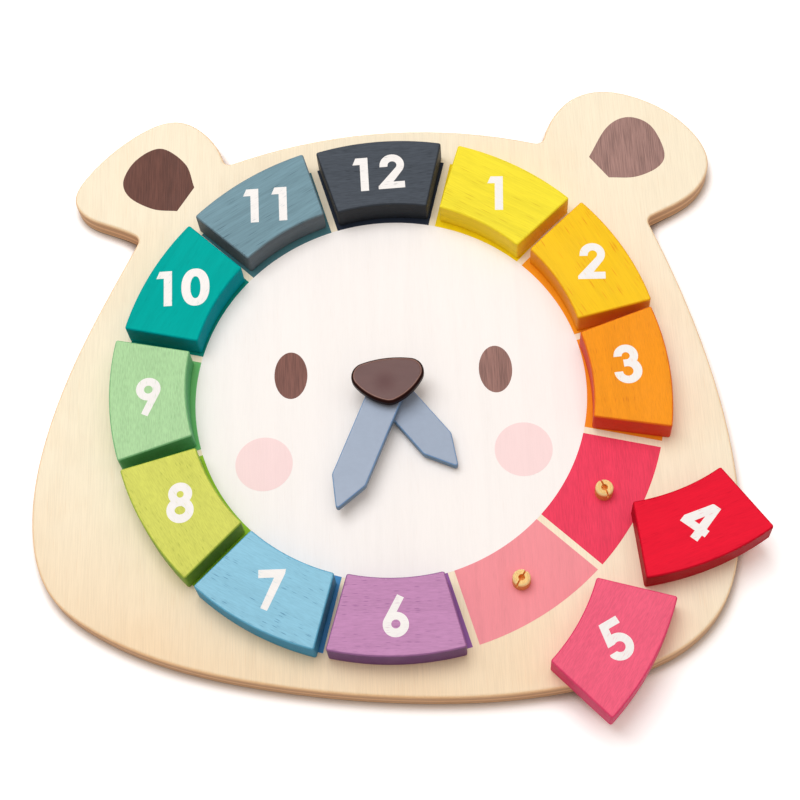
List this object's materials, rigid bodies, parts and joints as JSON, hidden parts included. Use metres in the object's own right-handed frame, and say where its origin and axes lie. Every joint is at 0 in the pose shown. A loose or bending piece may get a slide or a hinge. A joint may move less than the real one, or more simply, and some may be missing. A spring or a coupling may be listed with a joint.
{
  "type": "wooden number puzzle clock",
  "caption": "Wooden bear-face teaching clock lying flat: plywood board with pegs, lift-off coloured number blocks in a ring, and two freely turning hands under a glossy nose.",
  "frame": {"origin": "where the clock's axis meets the underside of the board", "axes": "+Z out of the clock face, +Y towards twelve o'clock, +X towards three o'clock"},
  "size_m": [0.2909, 0.2802, 0.0251],
  "materials": {
    "board_wood": "sanded birch plywood, clear matt lacquer",
    "peg_wood": "turned beech, unpainted",
    "dowel_wood": "turned beech, unpainted",
    "washer_nylon": "natural nylon",
    "hand_paint": "blue-grey water-based paint, satin",
    "nose_lacquer": "dark brown gloss lacquer",
    "face_white": "white print on the wood, matt",
    "feature_brown": "brown print on the wood, grain showing",
    "cheek_pink": "pale pink print on the wood, matt",
    "digit_white": "white silk-screened number, matt",
    "colour_01": "water-based stain with the grain showing, satin",
    "colour_02": "water-based stain with the grain showing, satin",
    "colour_03": "water-based stain with the grain showing, satin",
    "colour_04": "water-based stain with the grain showing, satin",
    "colour_05": "water-based stain with the grain showing, satin",
    "colour_06": "water-based stain with the grain showing, satin",
    "colour_07": "water-based stain with the grain showing, satin",
    "colour_08": "water-based stain with the grain showing, satin",
    "colour_09": "water-based stain with the grain showing, satin",
    "colour_10": "water-based stain with the grain showing, satin",
    "colour_11": "water-based stain with the grain showing, satin",
    "colour_12": "water-based stain with the grain showing, satin"
  },
  "bodies": {
    "root": {"base_board": "board_wood", "peg_01": "peg_wood", "peg_02": "peg_wood", "peg_03": "peg_wood", "peg_04": "peg_wood", "peg_05": "peg_wood", "peg_06": "peg_wood", "peg_07": "peg_wood", "peg_08": "peg_wood", "peg_09": "peg_wood", "peg_10": "peg_wood", "peg_11": "peg_wood", "peg_12": "peg_wood", "pivot_dowel": "dowel_wood", "washer_lower": "washer_nylon", "washer_middle": "washer_nylon", "washer_upper": "washer_nylon", "nose": "nose_lacquer"},
    "hour_hand": {"hour_hand": "hand_paint"},
    "minute_hand": {"minute_hand": "hand_paint"},
    "block_01": {"block_01": "colour_01"},
    "block_02": {"block_02": "colour_02"},
    "block_03": {"block_03": "colour_03"},
    "block_04": {"block_04": "colour_04"},
    "block_05": {"block_05": "colour_05"},
    "block_06": {"block_06": "colour_06"},
    "block_07": {"block_07": "colour_07"},
    "block_08": {"block_08": "colour_08"},
    "block_09": {"block_09": "colour_09"},
    "block_10": {"block_10": "colour_10"},
    "block_11": {"block_11": "colour_11"},
    "block_12": {"block_12": "colour_12"}
  },
  "joints": [
    {"name": "hour_hand_turn", "type": "hinge", "parent": "root", "child": "hour_hand", "pos_m": [0, 0, 0.0128], "axis": [0, 0, 1], "continuous": true},
    {"name": "minute_hand_turn", "type": "hinge", "parent": "root", "child": "minute_hand", "pos_m": [0, 0, 0.0176], "axis": [0, 0, 1], "continuous": true},
    {"name": "block_01_lift", "type": "slide", "parent": "root", "child": "block_01", "axis": [0, 0, 1], "range_m": [0, 0.03]},
    {"name": "block_02_lift", "type": "slide", "parent": "root", "child": "block_02", "axis": [0, 0, 1], "range_m": [0, 0.03]},
    {"name": "block_03_lift", "type": "slide", "parent": "root", "child": "block_03", "axis": [0, 0, 1], "range_m": [0, 0.03]},
    {"name": "block_04_lift", "type": "slide", "parent": "root", "child": "block_04", "axis": [0, 0, 1], "range_m": [0, 0.03]},
    {"name": "block_05_lift", "type": "slide", "parent": "root", "child": "block_05", "axis": [0, 0, 1], "range_m": [0, 0.03]},
    {"name": "block_06_lift", "type": "slide", "parent": "root", "child": "block_06", "axis": [0, 0, 1], "range_m": [0, 0.03]},
    {"name": "block_07_lift", "type": "slide", "parent": "root", "child": "block_07", "axis": [0, 0, 1], "range_m": [0, 0.03]},
    {"name": "block_08_lift", "type": "slide", "parent": "root", "child": "block_08", "axis": [0, 0, 1], "range_m": [0, 0.03]},
    {"name": "block_09_lift", "type": "slide", "parent": "root", "child": "block_09", "axis": [0, 0, 1], "range_m": [0, 0.03]},
    {"name": "block_10_lift", "type": "slide", "parent": "root", "child": "block_10", "axis": [0, 0, 1], "range_m": [0, 0.03]},
    {"name": "block_11_lift", "type": "slide", "parent": "root", "child": "block_11", "axis": [0, 0, 1], "range_m": [0, 0.03]},
    {"name": "block_12_lift", "type": "slide", "parent": "root", "child": "block_12", "axis": [0, 0, 1], "range_m": [0, 0.03]}
  ]
}
